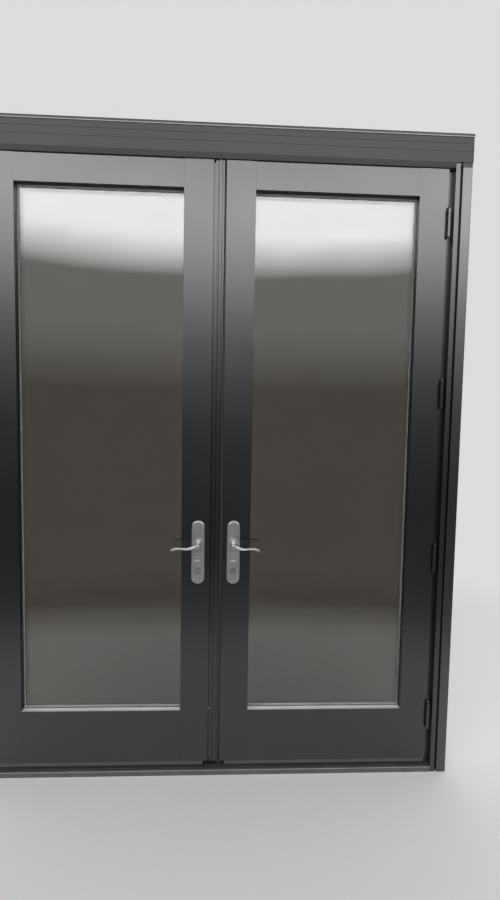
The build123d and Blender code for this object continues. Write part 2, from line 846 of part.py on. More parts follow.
# Keep plates let into the head and the sill round the rods' pockets
with BuildPart() as keeps:
    for name, side in SIDES:
        for low in (head_rabbet, tread_height - keep_sheet):
            sheet = (low, low + keep_sheet)
            block(about(side * rod_axis, keep_length), about(leaf_middle, keep_width), sheet)
            block(about(side * rod_axis, rod_hole), about(leaf_middle, rod_hole), sheet, Mode.SUBTRACT)
save(keeps, "rod_keeps")

# Side casings, with a groove between them and the nosing of the jamb
for name, side in SIDES:
    with BuildPart() as casing:
        with BuildSketch(Plane.XY) as section:
            with BuildLine():
                Polyline(
                    (side * jamb_back, casing_groove_floor),
                    (side * (jamb_back + casing_groove), casing_groove_floor),
                    (side * (jamb_back + casing_groove), -casing_proud),
                    (side * casing_outer, -casing_proud),
                    (side * casing_outer, casing_back),
                    (side * jamb_back, casing_back),
                    close=True,
                )
            make_face()
            for x in (side * (jamb_back + casing_groove), side * casing_outer):
                fillet(corner(section, x, -casing_proud), casing_round)
        extrude(amount=head_nosing)
    save(casing, f"{name}_casing")

# Head casing, a flat band with two fine lines along it and an apron that slopes back above the leaves
with BuildPart() as head_casing:
    with BuildSketch(Plane.YZ.offset(-casing_outer)):
        with BuildLine():
            Polyline(
                (-head_casing_proud, head_nosing),
                (0, head_nosing),
                (0, head_top),
                (casing_back, head_top),
                (casing_back, head_casing_top),
                (-head_casing_proud, head_casing_top),
                close=True,
            )
        make_face()
    extrude(amount=2 * casing_outer)
    with BuildSketch(Plane.YZ.offset(-nosing_edge)):
        with BuildLine():
            Polyline(
                (-head_casing_proud, head_nosing),
                (-apron_setback, apron_low),
                (recess_depth, apron_low),
                (recess_depth, head_nosing),
                close=True,
            )
        make_face()
    extrude(amount=2 * nosing_edge)
    for height in head_line_heights:
        block(
            (-casing_outer, casing_outer),
            (-head_casing_proud, head_line_size - head_casing_proud),
            about(head_nosing + height, head_line_size),
            Mode.SUBTRACT,
        )
save(head_casing, "head_casing")

# Drip cap of bent sheet over the head casing
with BuildPart() as cap:
    front = -head_casing_proud - cap_overhang
    span = (-casing_outer, casing_outer)
    block(span, (front, casing_back), (head_casing_top, head_casing_top + cap_sheet))
    block(span, (front, front + cap_sheet), (head_casing_top - cap_lip, head_casing_top + cap_sheet))
    block(span, (casing_back - cap_sheet, casing_back), (head_casing_top, head_casing_top + cap_upstand))
save(cap, "drip_cap")

# Seals on the stops, the head and the upstand of the sill
with BuildPart() as frame_seals:
    seal_front = leaf_thickness + seal_clearance
    seal_top = head_stop + seal_width
    for name, side in SIDES:
        block(
            (side * stop_edge, side * (stop_edge + seal_width)),
            (seal_front, stop_face),
            (upstand_top, head_stop),
        )
    block((-stop_edge, stop_edge), (seal_front, stop_face), (head_stop, seal_top))
    block(
        (-rabbet, rabbet),
        (seal_front, upstand_face),
        (upstand_top - leaf_arris - seal_width, upstand_top - leaf_arris),
    )
save(frame_seals, "frame_seals")
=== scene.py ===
"""Glazed french doors in their frame: finishes, small hardware, studio and camera.

Everything is in metres, with +Z up, +X to the right as seen from outside and +Y into the house. The origin
is on the underside of the sill, on the centre line of the doorway, below the outside faces of the leaves.
"""

import json
import logging
import math
from dataclasses import dataclass, field
from enum import Enum

import bpy
import numpy as np
from mathutils import Matrix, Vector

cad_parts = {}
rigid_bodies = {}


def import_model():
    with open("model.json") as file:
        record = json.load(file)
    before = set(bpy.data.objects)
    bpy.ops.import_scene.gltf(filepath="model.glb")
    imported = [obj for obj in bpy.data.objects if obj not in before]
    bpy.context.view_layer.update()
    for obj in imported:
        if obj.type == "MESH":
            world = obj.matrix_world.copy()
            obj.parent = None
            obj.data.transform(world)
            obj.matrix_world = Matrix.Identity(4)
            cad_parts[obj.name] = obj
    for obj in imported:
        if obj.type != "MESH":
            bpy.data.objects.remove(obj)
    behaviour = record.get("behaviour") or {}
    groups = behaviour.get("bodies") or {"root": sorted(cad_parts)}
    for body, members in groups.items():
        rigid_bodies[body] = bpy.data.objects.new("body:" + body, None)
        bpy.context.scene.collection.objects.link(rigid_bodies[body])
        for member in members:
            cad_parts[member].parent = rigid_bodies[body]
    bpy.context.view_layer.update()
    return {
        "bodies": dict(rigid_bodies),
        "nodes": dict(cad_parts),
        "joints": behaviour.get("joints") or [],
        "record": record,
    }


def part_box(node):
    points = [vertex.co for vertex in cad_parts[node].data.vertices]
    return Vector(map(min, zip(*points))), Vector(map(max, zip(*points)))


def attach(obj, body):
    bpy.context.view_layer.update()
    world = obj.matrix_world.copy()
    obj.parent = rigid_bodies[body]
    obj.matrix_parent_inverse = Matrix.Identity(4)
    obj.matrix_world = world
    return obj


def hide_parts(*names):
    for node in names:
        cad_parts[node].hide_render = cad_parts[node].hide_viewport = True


logger = logging.getLogger("french_doors")

SIDES: dict[str, int] = {"left": -1, "right": 1}


# Shader maths


class Socket:
    """A shader value with operators: an expression on values adds the Math nodes that work it out."""

    def __init__(self, graph: "Graph", link: bpy.types.NodeSocket) -> None:
        """Keep the graph that the value belongs to and the output that carries it."""
        self.graph = graph
        self.link = link

    def _math(self, operation: str, first: "Value", second: "Value") -> "Socket":
        """Add one Math node.

        Args:
            operation: The Math node's operation.
            first: The first operand.
            second: The second operand.

        Returns:
            The result as a new value.
        """
        return self.graph.node("ShaderNodeMath", {"operation": operation}, {0: first, 1: second})

    def __add__(self, other: "Value") -> "Socket":
        """Sum of two values."""
        return self._math("ADD", self, other)

    __radd__ = __add__

    def __sub__(self, other: "Value") -> "Socket":
        """Difference of two values."""
        return self._math("SUBTRACT", self, other)

    def __rsub__(self, other: "Value") -> "Socket":
        """A number less this value."""
        return self._math("SUBTRACT", other, self)

    def __mul__(self, other: "Value") -> "Socket":
        """Product of two values."""
        return self._math("MULTIPLY", self, other)

    __rmul__ = __mul__

    def __truediv__(self, other: "Value") -> "Socket":
        """Quotient of two values."""
        return self._math("DIVIDE", self, other)

    def limited(self) -> "Socket":
        """This value held between 0 and 1."""
        return self.graph.node("ShaderNodeClamp", {}, {0: self, 1: 0.0, 2: 1.0})

    def above(self, edge: float, width: float) -> "Socket":
        """A soft step.

        Args:
            edge: The value at which the step begins.
            width: How far it takes to reach 1.

        Returns:
            0 up to the edge, rising in a straight line to 1.
        """
        return ((self - edge) / width).limited()


Value = Socket | float
Vector3 = tuple[float, float, float]
Colour = tuple[float, float, float, float]


class Graph:
    """The node tree of one material or of the world."""

    def __init__(self, tree: bpy.types.NodeTree) -> None:
        """Start from an empty tree."""
        self.tree = tree
        tree.nodes.clear()

    def node(self, kind: str, settings: dict, inputs: dict, output: int | str = 0) -> Socket:
        """Add any node.

        Args:
            kind: The node's type.
            settings: Its settings, which are set first.
            inputs: The value or link of each socket, by place or by name.
            output: Which output to give back.

        Returns:
            The chosen output.
        """
        node = self.tree.nodes.new(kind)
        for name, value in settings.items():
            setattr(node, name, value)
        for name, value in inputs.items():
            socket = node.inputs[name]
            if isinstance(value, Socket):
                self.tree.links.new(value.link, socket)
            else:
                socket.default_value = value
        return Socket(self, node.outputs[output])

    def show(self, kind: str, shader: Socket) -> None:
        """Join a shader to a new output of the tree."""
        self.tree.links.new(shader.link, self.tree.nodes.new(kind).inputs["Surface"])

    def place(self) -> Socket:
        """The point on the piece, in metres in the row frame."""
        return self.node("ShaderNodeTexCoord", {}, {}, "Object")

    def stretched(self, scale: Vector3) -> Socket:
        """The point on the piece, with each axis scaled."""
        return self.node("ShaderNodeMapping", {}, {"Vector": self.place(), "Scale": scale})

    def noise(self, scale: float, detail: float, stretch: Vector3 = (1.0, 1.0, 1.0)) -> Socket:
        """Smooth noise over the piece.

        Args:
            scale: Waves in a metre.
            detail: How many finer layers are added.
            stretch: How much each axis is scaled first.

        Returns:
            A value that wanders about 0.5.
        """
        inputs = {"Vector": self.stretched(stretch), "Scale": scale, "Detail": detail}
        return self.node("ShaderNodeTexNoise", {}, inputs, "Fac")

    def height(self) -> Socket:
        """Height above the underside of the sill, in metres."""
        return self.node("ShaderNodeSeparateXYZ", {}, {"Vector": self.place()}, "Z")

    def depth(self) -> Socket:
        """Distance behind the outside faces of the closed leaves, in metres."""
        return self.node("ShaderNodeSeparateXYZ", {}, {"Vector": self.place()}, "Y")

    def mix(self, factor: Value, low: Colour | Socket, high: Colour | Socket) -> Socket:
        """Blend of two colours."""
        return self.node("ShaderNodeMix", {"data_type": "RGBA"}, {0: factor, 6: low, 7: high}, 2)

    def bump(self, height: Socket, strength: float, distance: float) -> Socket:
        """A normal that is tilted by a height.

        Args:
            height: The height, from 0 to 1.
            strength: How strongly the height counts.
            distance: How many metres a height of 1 stands for.

        Returns:
            The tilted normal.
        """
        inputs = {"Strength": strength, "Distance": distance, "Height": height}
        return self.node("ShaderNodeBump", {}, inputs, "Normal")


def rgba(red: float, green: float, blue: float) -> Colour:
    """An opaque colour."""
    return (red, green, blue, 1.0)


# Finishes


class Finish(Enum):
    """The finishes of the doors, by the name of their slot in the record."""

    LEAF_PAINT = "leaf_paint"
    FRAME_PAINT = "frame_paint"
    CASING_PAINT = "casing_paint"
    HINGE_PAINT = "hinge_paint"
    HINGE_PIN = "hinge_pin"
    HANDLE_METAL = "handle_metal"
    LOCK_METAL = "lock_metal"
    BOLT_METAL = "bolt_metal"
    SILL_METAL = "sill_metal"
    SWEEP_METAL = "sweep_metal"
    CAP_METAL = "cap_metal"
    SPACER_METAL = "spacer_metal"
    CLEAR_GLASS = "clear_glass"
    COATED_GLASS = "coated_glass"
    SEAL_RUBBER = "seal_rubber"


@dataclass(frozen=True)
class Paint:
    """Satin paint with a fine skin and faint uneven gloss, and a little dust low down.

    A finish may also be chalky above a height, and may have a painted sky reflection on the ledge under
    the glass, a pale colour that is brighter by the glass. Both heights are above the doors unless they
    are given. Each pair gives where a soft step begins and how far it takes, except the ledge band, which
    gives two heights about the ledge.
    """

    colour: Colour
    dust: Colour
    roughness: float
    specular: float
    refraction: float = 1.5
    skin_size: float = 420.0
    skin_strength: float = 0.3
    skin_depth: float = 0.00003
    patch_size: float = 3.0
    gloss_spread: float = 0.06
    smear_size: float = 9.0
    smear_stretch: Vector3 = (1.0, 1.0, 0.25)
    smear_step: tuple[float, float] = (0.35, 0.4)
    dust_amount: float = 0.03
    dust_fade: tuple[float, float] = (0.06, 0.35)
    chalky_above: float = 3.0
    chalky_edge: float = 0.002
    chalky_gloss_loss: float = 0.36
    chalky_dust: float = 0.03
    ledge: float = 3.0
    ledge_band: tuple[float, float] = (-0.002, 0.0005)
    ledge_edge: float = 0.0005
    ledge_front: tuple[float, float] = (0.0, 0.003)
    glass_side: tuple[float, float] = (0.010, 0.004)
    # Colour of the painted sky reflection on the ledge, and how much of it lies evenly, in smears and by
    # the glass.
    film: Colour = (0.92, 0.92, 0.94, 1.0)
    ledge_sheen_amounts: Vector3 = (0.55, 0.4, 0.3)

    def on_ledge(self, graph: Graph) -> Socket:
        """Find the ledge under the glass.

        Args:
            graph: The tree that the nodes go into.

        Returns:
            1 in a thin band of heights about the ledge, behind its front edge, and 0 elsewhere.
        """
        low, high = (self.ledge + step for step in self.ledge_band)
        over_foot = graph.height().above(low, self.ledge_edge)
        under_head = 1.0 - graph.height().above(high, self.ledge_edge)
        return over_foot * under_head * graph.depth().above(*self.ledge_front)

    def build(self, graph: Graph) -> Socket:
        """Make the shader.

        Args:
            graph: The tree that the nodes go into.

        Returns:
            The shader's output.
        """
        patches = graph.noise(self.patch_size, 4.0)
        smears = graph.noise(self.smear_size, 3.0, self.smear_stretch)
        skin = graph.noise(self.skin_size, 2.0)
        low_down = 1.0 - graph.height().above(*self.dust_fade)
        chalky = graph.height().above(self.chalky_above, self.chalky_edge)
        settled = low_down * smears.above(*self.smear_step) * self.dust_amount
        dusty = (settled + chalky * self.chalky_dust).limited()
        by_glass = graph.depth().above(*self.glass_side)
        # Painted reflection: a pale colour on the ledge stands for the sky mirrored in it, brighter by the
        # glass.
        plain, smeared, brighter_by_glass = self.ledge_sheen_amounts
        painted_ledge_sheen = (self.on_ledge(graph) * (plain + smears * smeared + by_glass * brighter_by_glass)).limited()
        gloss = self.roughness + (patches - 0.5) * self.gloss_spread + chalky * self.chalky_gloss_loss
        inputs = {
            "Base Color": graph.mix(painted_ledge_sheen, graph.mix(dusty, self.colour, self.dust), self.film),
            "Roughness": gloss.limited(),
            "IOR": self.refraction,
            "Specular IOR Level": self.specular,
            "Normal": graph.bump(skin, self.skin_strength, self.skin_depth),
        }
        return graph.node("ShaderNodeBsdfPrincipled", {}, inputs)


@dataclass(frozen=True)
class CapSheet:
    """Painted sheet of the drip cap, with a painted highlight along the lower edge of its lip."""

    paint: Paint
    # Colour of the painted highlight along the lip's lower edge, and how high it reaches.
    lip_highlight: Colour
    lip_foot: float
    lip_highlight_height: float = 0.0036
    streak_size: float = 14.0
    streak_stretch: Vector3 = (1.0, 1.0, 0.1)
    streak_step: tuple[float, float] = (0.45, 0.4)
    streak_dust: float = 0.10
    gloss_spread: float = 0.1

    def build(self, graph: Graph) -> Socket:
        """Make the shader.

        Args:
            graph: The tree that the nodes go into.

        Returns:
            The shader's output.
        """
        # Painted highlight: a lighter colour from the lip's lower edge to a little above it.
        lip_highlight_mask = 1.0 - graph.height().above(self.lip_foot, self.lip_highlight_height)
        streaks = graph.noise(self.streak_size, 4.0, self.streak_stretch)
        skin = graph.noise(self.paint.skin_size, 2.0)
        dusty = streaks.above(*self.streak_step) * self.streak_dust
        washed = graph.mix(dusty, self.paint.colour, self.paint.dust)
        inputs = {
            "Base Color": graph.mix(lip_highlight_mask, washed, self.lip_highlight),
            "Roughness": (self.paint.roughness + (streaks - 0.5) * self.gloss_spread).limited(),
            "Specular IOR Level": self.paint.specular,
            "Normal": graph.bump(skin, self.paint.skin_strength, self.paint.skin_depth),
        }
        return graph.node("ShaderNodeBsdfPrincipled", {}, inputs)


@dataclass(frozen=True)
class Metal:
    """Bare or coated metal with a fine grain along one direction and worn, uneven gloss."""

    colour: Colour
    worn: Colour
    roughness: float = 0.35
    metallic: float = 1.0
    grain: Vector3 = (1.0, 1.0, 1.0)
    grain_size: float = 900.0
    grain_strength: float = 0.3
    grain_depth: float = 0.00001
    cloud_size: float = 18.0
    wear_step: tuple[float, float] = (0.42, 0.35)
    wear_amount: float = 0.5
    gloss_spread: float = 0.08

    def build(self, graph: Graph) -> Socket:
        """Make the shader.

        Args:
            graph: The tree that the nodes go into.

        Returns:
            The shader's output.
        """
        cloud = graph.noise(self.cloud_size, 3.0)
        grain = graph.noise(self.grain_size, 2.0, self.grain)
        wear = cloud.above(*self.wear_step) * self.wear_amount
        inputs = {
            "Base Color": graph.mix(wear, self.colour, self.worn),
            "Metallic": self.metallic,
            "Roughness": (self.roughness + (cloud - 0.5) * self.gloss_spread).limited(),
            "Normal": graph.bump(grain, self.grain_strength, self.grain_depth),
        }
        return graph.node("ShaderNodeBsdfPrincipled", {}, inputs)


@dataclass(frozen=True)
class Glass:
    """Glass that holds back part of the light, with a trace of film and a faint wave. Where it is tinted
    very dark, that is partly painted shade of what lies behind the glass.
    """

    tint_and_shade: Colour
    film: Colour
    refraction: float = 1.52
    film_size: float = 5.0
    film_stretch: Vector3 = (1.0, 1.0, 0.5)
    film_step: tuple[float, float] = (0.5, 0.5)
    wave_size: float = 2.5
    wave_stretch: Vector3 = (1.0, 0.0, 1.6)
    wave_depth: float = 0.0005

    def build(self, graph: Graph) -> Socket:
        """Make the shader.

        Args:
            graph: The tree that the nodes go into.

        Returns:
            The shader's output.
        """
        film = graph.noise(self.film_size, 5.0, self.film_stretch).above(*self.film_step)
        wave = graph.noise(self.wave_size, 1.0, self.wave_stretch)
        inputs = {
            "Base Color": graph.mix(film, self.tint_and_shade, self.film),
            "Roughness": 0.0,
            "IOR": self.refraction,
            "Transmission Weight": 1.0,
            "Normal": graph.bump(wave, 1.0, self.wave_depth),
        }
        return graph.node("ShaderNodeBsdfPrincipled", {}, inputs)


@dataclass(frozen=True)
class Rubber:
    """Matt black rubber with a bloom of dust."""

    colour: Colour
    bloom: Colour
    roughness: float = 0.75
    cloud_size: float = 60.0
    bloom_step: tuple[float, float] = (0.45, 0.4)
    bloom_amount: float = 0.5
    gloss_spread: float = 0.2
    pore_size: float = 700.0
    pore_strength: float = 0.3
    pore_depth: float = 0.00005

    def build(self, graph: Graph) -> Socket:
        """Make the shader.

        Args:
            graph: The tree that the nodes go into.

        Returns:
            The shader's output.
        """
        cloud = graph.noise(self.cloud_size, 4.0)
        pores = graph.noise(self.pore_size, 2.0)
        bloomed = cloud.above(*self.bloom_step) * self.bloom_amount
        inputs = {
            "Base Color": graph.mix(bloomed, self.colour, self.bloom),
            "Roughness": (self.roughness + (cloud - 0.5) * self.gloss_spread).limited(),
            "Normal": graph.bump(pores, self.pore_strength, self.pore_depth),
        }
        return graph.node("ShaderNodeBsdfPrincipled", {}, inputs)


@dataclass(frozen=True)
class Ground:
    """The studio's matt floor, an oval that fades into the background away from the doors."""

    colour: Colour
    middle: Vector3
    stretch: Vector3
    fade_from: float
    fade_over: float
    roughness: float = 0.9

    def build(self, graph: Graph) -> Socket:
        """Make the shader.

        Args:
            graph: The tree that the nodes go into.

        Returns:
            A mix of matt floor and nothing, by the distance from the floor's middle.
        """
        inputs = {0: graph.stretched(self.stretch), 1: self.middle}
        distance = graph.node("ShaderNodeVectorMath", {"operation": "DISTANCE"}, inputs, "Value")
        inputs = {"Base Color": self.colour, "Roughness": self.roughness}
        matt = graph.node("ShaderNodeBsdfPrincipled", {}, inputs)
        nothing = graph.node("ShaderNodeBsdfTransparent", {}, {})
        faded = distance.above(self.fade_from, self.fade_over)
        return graph.node("ShaderNodeMixShader", {}, {0: faded, 1: matt, 2: nothing})


Surface = Paint | CapSheet | Metal | Glass | Rubber

DUST: Colour = rgba(0.16, 0.15, 0.14)
UPRIGHT_GRAIN: Vector3 = (1.0, 1.0, 0.03)
LEVEL_GRAIN: Vector3 = (0.03, 1.0, 1.0)

FINISHES: dict[Finish, Surface] = {
    Finish.LEAF_PAINT: Paint(
        colour=rgba(0.0042, 0.0039, 0.0038),
        dust=DUST,
        roughness=0.29,
        specular=1.0,
        # Height of the ledge that carries the painted sky reflection.
        ledge=0.262,
    ),
    Finish.FRAME_PAINT: Paint(
        colour=rgba(0.0042, 0.0039, 0.0038),
        dust=DUST,
        roughness=0.31,
        specular=1.0,
    ),
    Finish.CASING_PAINT: Paint(
        colour=rgba(0.0052, 0.0049, 0.0047),
        dust=rgba(0.18, 0.17, 0.16),
        roughness=0.31,
        specular=1.0,
        refraction=1.58,
        chalky_above=2.366,
    ),
    Finish.HINGE_PAINT: Paint(
        colour=rgba(0.0070, 0.0066, 0.0064),
        dust=DUST,
        roughness=0.26,
        specular=0.9,
    ),
    Finish.HINGE_PIN: Metal(
        colour=rgba(0.10, 0.095, 0.09),
        worn=rgba(0.20, 0.19, 0.18),
    ),
    Finish.HANDLE_METAL: Metal(
        colour=rgba(0.52, 0.516, 0.51),
        worn=rgba(0.58, 0.575, 0.57),
        roughness=0.36,
        grain=(1.0, 1.0, 0.04),
        grain_size=500.0,
    ),
    Finish.LOCK_METAL: Metal(
        colour=rgba(0.48, 0.47, 0.46),
        worn=rgba(0.58, 0.57, 0.56),
        grain=UPRIGHT_GRAIN,
    ),
    Finish.BOLT_METAL: Metal(
        colour=rgba(0.55, 0.55, 0.55),
        worn=rgba(0.66, 0.66, 0.65),
        grain=UPRIGHT_GRAIN,
    ),
    Finish.SILL_METAL: Metal(
        colour=rgba(0.18, 0.175, 0.17),
        worn=rgba(0.24, 0.23, 0.22),
        roughness=0.45,
        grain=LEVEL_GRAIN,
    ),
    Finish.SWEEP_METAL: Metal(
        colour=rgba(0.15, 0.145, 0.14),
        worn=rgba(0.20, 0.19, 0.185),
        roughness=0.4,
        grain=LEVEL_GRAIN,
    ),
    Finish.CAP_METAL: CapSheet(
        paint=Paint(
            colour=rgba(0.011, 0.0102, 0.0098),
            dust=rgba(0.20, 0.19, 0.18),
            roughness=0.45,
            specular=0.6,
        ),
        # Painted highlight along the lower edge of the lip.
        lip_highlight=rgba(0.50, 0.485, 0.47),
        lip_foot=2.4752,
    ),
    Finish.SPACER_METAL: Metal(
        colour=rgba(0.93, 0.93, 0.92),
        worn=rgba(0.95, 0.95, 0.94),
        roughness=0.5,
        metallic=0.0,
    ),
    Finish.CLEAR_GLASS: Glass(tint_and_shade=rgba(0.98, 0.985, 0.985), film=rgba(0.965, 0.97, 0.97)),
    # The inner pane's very dark tint and film are partly the coating's own grey and partly painted shade,
    # standing for the dark room behind the doors.
    Finish.COATED_GLASS: Glass(tint_and_shade=rgba(0.077, 0.068, 0.056), film=rgba(0.073, 0.065, 0.054)),
    Finish.SEAL_RUBBER: Rubber(colour=rgba(0.010, 0.010, 0.010), bloom=rgba(0.03, 0.029, 0.028)),
}


@dataclass
class FinishShop:
    """Makes each finish once and hands it out."""

    made: dict[str, bpy.types.Material] = field(default_factory=dict)

    def material(self, name: str, finish: Surface | Ground) -> bpy.types.Material:
        """Make a material, or give back the one of that name.

        Args:
            name: The material's name.
            finish: What it is made of.

        Returns:
            The material.
        """
        if name not in self.made:
            material = bpy.data.materials.new(name)
            material.use_nodes = True
            graph = Graph(material.node_tree)
            graph.show("ShaderNodeOutputMaterial", finish.build(graph))
            self.made[name] = material
        return self.made[name]

    def of(self, finish: Finish) -> bpy.types.Material:
        """The material of one of the doors' finishes."""
        return self.material(finish.value, FINISHES[finish])

    def dress_nodes(self, frame: dict) -> None:
        """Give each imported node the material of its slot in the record.

        Args:
            frame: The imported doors, with their nodes and their record.
        """
        for entry in frame["record"]["subparts"]:
            mesh = frame["nodes"][entry["node"]].data
            mesh.materials.clear()
            mesh.materials.append(self.of(Finish(entry["material_slot"])))
            logger.info("%s takes %s", entry["node"], entry["material_slot"])


# Meshes worked out as grids of points


def closed_shells(name: str, rings: np.ndarray, crease: float = 35.0) -> bpy.types.Mesh:
    """Join rings of points into closed shells, all of one form.

    A shell is a stack of rings of equal count. Each ring is joined to the next by quads, and the last and
    first rings are closed by a fan of triangles to the middle of the ring. The volume of the first shell,
    the sum over its triangles of a . (b x c) / 6, tells whether the faces look outwards, and they are
    turned if they don't.

    Args:
        name: The mesh's name.
        rings: The points in metres, by shell, ring, place in the ring and axis.
        crease: The angle in degrees above which an edge stays sharp.

    Returns:
        The mesh.
    """
    shells, count, sides, _ = rings.shape
    middles = rings[:, [0, -1]].mean(axis=2)
    points = np.concatenate([rings.reshape(shells, count * sides, 3), middles], axis=1)
    around = np.arange(sides)
    following = (around + 1) % sides
    starts = np.arange(count - 1)[:, None] * sides
    here, beside = (starts + around).ravel(), (starts + following).ravel()
    quads = np.column_stack([here, beside, beside + sides, here + sides])
    last = (count - 1) * sides
    foot = np.column_stack([following, around, np.full(sides, count * sides)])
    head = np.column_stack([last + around, last + following, np.full(sides, count * sides + 1)])
    triangles = np.vstack([quads[:, [0, 1, 2]], quads[:, [0, 2, 3]], foot, head])
    first, second, third = (points[0][triangles[:, place]] for place in range(3))
    if np.einsum("ij,ij->", first, np.cross(second, third)) < 0:
        quads, foot, head = quads[:, ::-1], foot[:, ::-1], head[:, ::-1]
    offsets = np.arange(shells) * points.shape[1]
    parts = [part + offset for offset in offsets for part in (quads, foot, head)]
    faces = [face for part in parts for face in part.tolist()]
    mesh = bpy.data.meshes.new(name)
    mesh.from_pydata(points.reshape(-1, 3).tolist(), [], faces)
    mesh.polygons.foreach_set("use_smooth", np.ones(len(mesh.polygons), dtype=bool))
    mesh.set_sharp_from_angle(angle=math.radians(crease))
    return mesh


def place_piece(mesh: bpy.types.Mesh, body: str, finish: Finish, shop: FinishShop) -> bpy.types.Object:
    """Put a new piece on its body.

    Args:
        mesh: Its mesh, which holds its place.
        body: The body that it rides on.
        finish: The finish that it takes.
        shop: Where the materials come from.

    Returns:
        The piece.
    """
    mesh.materials.append(shop.of(finish))
    piece = bpy.data.objects.new(mesh.name, mesh)
    bpy.context.scene.collection.objects.link(piece)
    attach(piece, body)
    logger.info("%s rides on %s, %d faces", mesh.name, body, len(mesh.polygons))
    return piece


@dataclass(frozen=True)
class ScrewHead:
    """A countersunk head with a cross recess, sunk in a plate so that only a low dome stands out."""

    radius: float = 0.0040
    dome: float = 0.0004
    recess: float = 0.0016
    recess_length: float = 0.0050
    recess_width: float = 0.0011
    recess_edge: float = 3.0
    seat: float = 0.0020
    seat_share: float = 0.5
    sides: int = 32
    rings: int = 12
    first_ring: float = 0.04
    ring_power: float = 0.8

    def surface(self) -> np.ndarray:
        """Work out the head about its own axis.

        The height over the plate is dome (1 - (r / R)^2), less the recess. The recess is the larger of two
        products of soft steps, one for each bar of the cross, where a step falls from 1 to 0 at the bar's
        edge, over the bar's width divided by recess_edge. A last ring at the seat's depth makes the cone
        under the head.

        Returns:
            Points by ring, place in the ring and axis: two across the head and the height.
        """
        reach = np.linspace(self.first_ring, 1.0, self.rings) ** self.ring_power * self.radius
        turn = np.linspace(0.0, 2.0 * math.pi, self.sides, endpoint=False)
        radius, angle = np.meshgrid(reach, turn, indexing="ij")
        across, along = radius * np.cos(angle), radius * np.sin(angle)
        edge = self.recess_width / self.recess_edge

        def inside(value: np.ndarray, width: float) -> np.ndarray:
            """1 within half the width of zero, 0 outside, with a soft edge."""
            return np.clip((width / 2 - np.abs(value)) / edge + 0.5, 0.0, 1.0)

        upright = inside(across, self.recess_width) * inside(along, self.recess_length)
        level = inside(along, self.recess_width) * inside(across, self.recess_length)
        height = self.dome * (1.0 - (radius / self.radius) ** 2) - self.recess * np.maximum(upright, level)
        top = np.stack([across, along, height], axis=-1)
        rim = top[-1, :, :2] * self.seat_share
        cone = np.column_stack([rim, np.full(self.sides, -self.seat)])
        return np.concatenate([top, cone[None]])

    def heads(self, name: str, spots: np.ndarray, outward: Vector3, across: Vector3) -> bpy.types.Mesh:
        """Make one mesh of heads on a flat face.

        Each point is spot + u * across + v * along + h * outward, where along is outward x across.

        Args:
            name: The mesh's name.
            spots: The heads' middles on the face, one row each.
            outward: The direction that the face looks in.
            across: A direction in the face.

        Returns:
            The mesh.
        """
        outward_axis, across_axis = np.array(outward, float), np.array(across, float)
        axes = np.stack([across_axis, np.cross(outward_axis, across_axis), outward_axis])
        return closed_shells(name, spots[:, None, None, :] + self.surface() @ axes)


def spots_on(across: list[float], places: np.ndarray, axis: int, constant: float) -> np.ndarray:
    """Middles of screws in a face that is square to one axis.

    Args:
        across: Their places along the first other axis.
        places: Their places along the second other axis.
        axis: The axis that the face is square to.
        constant: The face's place on that axis.

    Returns:
        One row for each screw.
    """
    first, second = (grid.ravel() for grid in np.meshgrid(across, places, indexing="ij"))
    return np.insert(np.column_stack([first, second]), axis, constant, axis=1)


@dataclass
class HingeScrews:
    """The screws of the hinge plates: four in each plate on a leaf, four in each plate on a jamb."""

    hinge_length: float = 0.102
    hinge_count: int = 4
    leaf_rows: tuple[float, float] = (0.014, 0.032)
    jamb_rows: tuple[float, float] = (0.025, 0.037)
    from_middle: tuple[float, float] = (0.014, 0.038)
    head: ScrewHead = ScrewHead()

    def heights(self) -> np.ndarray:
        """Work out the heights of one column of screws.

        Returns:
            Two heights above and two below the middle of each hinge.
        """
        low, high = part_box("frame_hinges")
        half = self.hinge_length / 2
        middles = np.linspace(low[2] + half, high[2] - half, self.hinge_count)
        near, far = self.from_middle
        return (middles[:, None] + np.array([-far, -near, near, far])).ravel()

    def build(self, shop: FinishShop) -> None:
        """Make the screws of each leaf and of each jamb.

        Args:
            shop: Where the materials come from.
        """
        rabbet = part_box("frame_seals")[1][0]
        for name, side in SIDES.items():
            leaf_edge = max(abs(corner[0]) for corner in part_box(f"{name}_hinge_stile"))
            leaf_spots = spots_on(list(self.leaf_rows), self.heights(), 0, side * leaf_edge)
            leaf = self.head.heads(f"{name}_leaf_hinge_screws", leaf_spots, (side, 0, 0), (0, 1, 0))
            place_piece(leaf, f"{name}_leaf", Finish.HINGE_PIN, shop)
            jamb_spots = spots_on(list(self.jamb_rows), self.heights(), 0, side * rabbet)
            jamb = self.head.heads(f"{name}_jamb_hinge_screws", jamb_spots, (-side, 0, 0), (0, 1, 0))
            place_piece(jamb, "frame", Finish.HINGE_PIN, shop)


